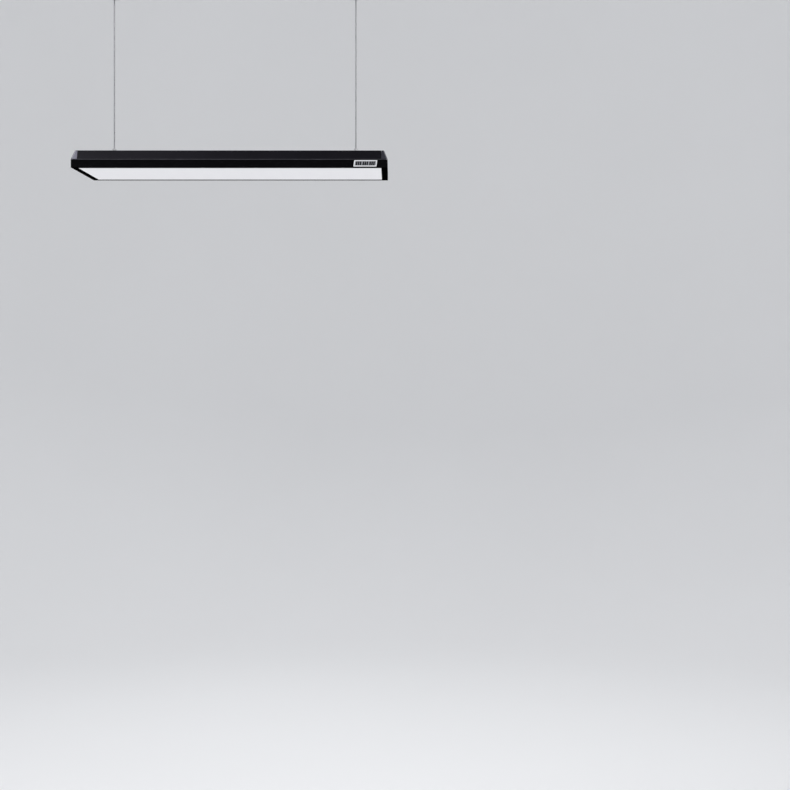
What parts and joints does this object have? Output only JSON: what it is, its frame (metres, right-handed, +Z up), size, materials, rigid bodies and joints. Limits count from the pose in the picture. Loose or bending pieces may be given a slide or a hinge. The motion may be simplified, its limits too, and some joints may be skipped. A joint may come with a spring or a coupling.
{
  "type": "hanging aquarium light",
  "caption": "Flat LED aquarium light, a dark rectangular casing with a glowing white panel underneath, hung level on two steel wires from ceiling fittings.",
  "frame": {"origin": "on the ceiling plane, midway between the two ceiling fittings", "axes": "+X along the lamp's length, to the right seen from its front; -Y towards the front with the badge; +Z up"},
  "size_m": [0.6, 0.2006, 0.3949],
  "materials": {
    "housing": "satin blue-black anodised",
    "end_cap": "satin gunmetal anodised",
    "frame": "matte black",
    "badge": "bright brushed",
    "diffuser": "opal white, lit from behind",
    "silicone": "translucent white, matte",
    "reflector": "white, glossy",
    "led_board": "white solder mask",
    "thermal_pad": "grey-blue, matte",
    "aluminium": "mill finish",
    "circuit": "green solder mask",
    "black_plastic": "fine matte",
    "black_rubber": "matte",
    "lead": "smooth black",
    "zinc": "zinc plated",
    "black_screw": "black oxide",
    "nickel": "nickel plated brass",
    "satin_metal": "satin nickel",
    "wire": "bright stainless"
  },
  "bodies": {
    "ceiling": {"ceiling_base_left": "satin_metal", "ceiling_base_right": "satin_metal", "ceiling_cup_left": "satin_metal", "ceiling_cup_right": "satin_metal", "ceiling_screw_left": "zinc", "ceiling_screw_right": "zinc"},
    "wires": {"wire_left": "wire", "wire_right": "wire", "wire_stop_left": "nickel", "wire_stop_right": "nickel"},
    "lamp": {"board_screw_left_1": "zinc", "board_screw_left_2": "zinc", "board_screw_right_1": "zinc", "board_screw_right_2": "zinc", "cap_screw_left_front": "black_screw", "cap_screw_left_rear": "black_screw", "cap_screw_right_front": "black_screw", "cap_screw_right_rear": "black_screw", "diffuser_panel": "diffuser", "diffuser_seal": "silicone", "driver_board": "circuit", "driver_screw_1": "zinc", "driver_screw_2": "zinc", "end_cap_left": "end_cap", "end_cap_right": "end_cap", "frame_screw_1": "black_screw", "frame_screw_2": "black_screw", "frame_screw_3": "black_screw", "frame_screw_4": "black_screw", "frame_screw_5": "black_screw", "frame_screw_6": "black_screw", "frame_screw_7": "black_screw", "frame_screw_8": "black_screw", "gripper_body_left": "nickel", "gripper_body_right": "nickel", "gripper_nut_left": "zinc", "gripper_nut_right": "zinc", "gripper_spring_left": "satin_metal", "gripper_spring_right": "satin_metal", "gripper_washer_left": "zinc", "gripper_washer_right": "zinc", "heat_spreader": "aluminium", "inlet_nut": "nickel", "inlet_seal": "black_rubber", "inlet_socket": "black_plastic", "led_board_left": "led_board", "led_board_right": "led_board", "led_lead_left": "lead", "led_lead_right": "lead", "lower_frame": "frame", "name_badge": "badge", "reflector": "reflector", "supply_lead": "lead", "thermal_pad_left": "thermal_pad", "thermal_pad_right": "thermal_pad", "top_housing": "housing"},
    "collar_left": {"gripper_collar_left": "satin_metal"},
    "collar_right": {"gripper_collar_right": "satin_metal"}
  },
  "joints": [
    {"name": "swing", "type": "hinge", "parent": "ceiling", "child": "wires", "pos_m": [0, 0, -0.02], "axis": [1, 0, 0], "range_deg": [-15, 15]},
    {"name": "lamp_height", "type": "slide", "parent": "wires", "child": "lamp", "axis": [0, 0, 1], "range_m": [0, 0.2], "deforming": ["wire_left", "wire_right"]},
    {"name": "collar_press_left", "type": "slide", "parent": "lamp", "child": "collar_left", "axis": [0, 0, -1], "range_m": [0, 0.0015], "stiffness_N_per_m": 800, "springref_m": -0.002, "deforming": ["gripper_spring_left"]},
    {"name": "collar_press_right", "type": "slide", "parent": "lamp", "child": "collar_right", "axis": [0, 0, -1], "range_m": [0, 0.0015], "stiffness_N_per_m": 800, "springref_m": -0.002, "deforming": ["gripper_spring_right"]}
  ]
}
